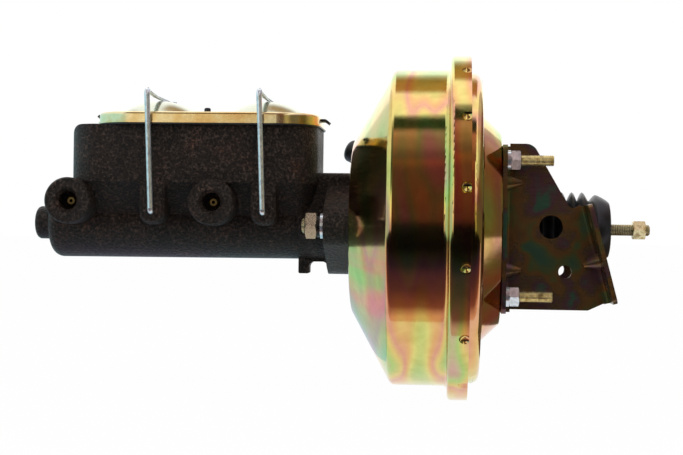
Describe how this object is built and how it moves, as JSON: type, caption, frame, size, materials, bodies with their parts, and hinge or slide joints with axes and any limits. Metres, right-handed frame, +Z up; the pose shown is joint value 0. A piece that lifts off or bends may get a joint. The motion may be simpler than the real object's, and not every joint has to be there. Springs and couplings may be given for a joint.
{
  "type": "brake booster",
  "caption": "Vacuum brake booster in two crimped zinc-plated shells, with a cast tandem master cylinder in front and slanted firewall brackets behind.",
  "frame": {"origin": "on the booster's axis, where it crosses the slanted plane of the firewall flanges", "axes": "+X along the axis toward the pedal, +Z up as fitted in the car, -Y the side with the brake outlets"},
  "size_m": [0.4486, 0.2488, 0.2488],
  "materials": {
    "yellow_zinc": "bright steel pressing, yellow passivated zinc with iridescent tints",
    "dark_zinc": "steel sheet, dark olive and purple yellow-passivated zinc",
    "gold_zinc": "thin steel pressing, gold passivated zinc",
    "yellow_zinc_rod": "turned steel, yellow passivated zinc",
    "clear_zinc": "steel, bright clear zinc",
    "bronze_zinc": "steel nut, dull bronze-grey zinc",
    "black_steel": "black oiled spring steel",
    "black_iron": "sand-cast iron, rough, with black paint",
    "plain_steel": "plain machined or pressed steel",
    "spring_steel": "drawn spring wire",
    "piston_alloy": "anodised, machined",
    "brass": "machined brass",
    "rubber": "black moulded rubber, slightly glossy",
    "felt": "open filter felt",
    "black_moulding": "moulded black thermoset"
  },
  "bodies": {
    "root": {"front_shell": "yellow_zinc", "rear_shell": "yellow_zinc", "diaphragm": "rubber", "return_spring": "spring_steel", "front_seal": "rubber", "rear_bearing_seal": "rubber", "boot": "rubber", "rear_studs": "yellow_zinc_rod", "rear_washers": "clear_zinc", "rear_nuts": "clear_zinc", "master_cylinder_studs": "yellow_zinc_rod", "master_cylinder_flat_washers": "clear_zinc", "master_cylinder_lock_washers": "black_steel", "master_cylinder_nuts": "bronze_zinc", "left_bracket": "dark_zinc", "right_bracket": "dark_zinc", "master_cylinder_body": "black_iron", "tube_seats": "brass", "stop_screw": "plain_steel", "retaining_ring": "spring_steel", "primary_spring": "spring_steel", "secondary_spring": "spring_steel", "reservoir_cover": "gold_zinc", "cover_gasket": "rubber", "vacuum_grommet": "rubber", "check_valve": "black_moulding"},
    "power_piston_group": {"power_piston": "black_moulding", "diaphragm_plate": "plain_steel", "reaction_disc": "rubber", "output_rod": "plain_steel", "poppet_valve": "rubber", "poppet_spring": "spring_steel", "spring_retainer": "plain_steel", "air_filter": "felt"},
    "input_rod_group": {"input_rod": "yellow_zinc_rod", "valve_plunger": "plain_steel", "jam_nut": "yellow_zinc_rod"},
    "primary_piston_group": {"primary_piston": "piston_alloy", "primary_cups": "rubber"},
    "secondary_piston_group": {"secondary_piston": "piston_alloy", "secondary_cups": "rubber"},
    "front_bail_wire": {"front_bail": "clear_zinc"},
    "rear_bail_wire": {"rear_bail": "clear_zinc"}
  },
  "joints": [
    {"name": "piston_stroke", "type": "slide", "parent": "root", "child": "power_piston_group", "axis": [-1, 0, 0], "range_m": [0, 0.028], "stiffness_N_per_m": 2500, "springref_m": -0.04, "deforming": ["return_spring", "diaphragm", "boot", "secondary_spring", "primary_spring"]},
    {"name": "valve_travel", "type": "slide", "parent": "power_piston_group", "child": "input_rod_group", "axis": [-1, 0, 0], "range_m": [0, 0.0015], "stiffness_N_per_m": 1500, "springref_m": -0.01},
    {"name": "primary_piston_slide", "type": "slide", "parent": "root", "child": "primary_piston_group", "axis": [-1, 0, 0], "range_m": [0, 0.028]},
    {"name": "secondary_piston_slide", "type": "slide", "parent": "root", "child": "secondary_piston_group", "axis": [-1, 0, 0], "range_m": [0, 0.014]},
    {"name": "front_bail_swing", "type": "hinge", "parent": "root", "child": "front_bail_wire", "pos_m": [-0.3116, 0, 0.0085], "axis": [0, -1, 0], "range_deg": [0, 25]},
    {"name": "rear_bail_swing", "type": "hinge", "parent": "root", "child": "rear_bail_wire", "pos_m": [-0.2321, 0, 0.0085], "axis": [0, 1, 0], "range_deg": [0, 36]}
  ],
  "couplings": [
    {"joint": "primary_piston_slide", "follows": "piston_stroke", "ratio": 1},
    {"joint": "secondary_piston_slide", "follows": "piston_stroke", "ratio": 0.5}
  ]
}
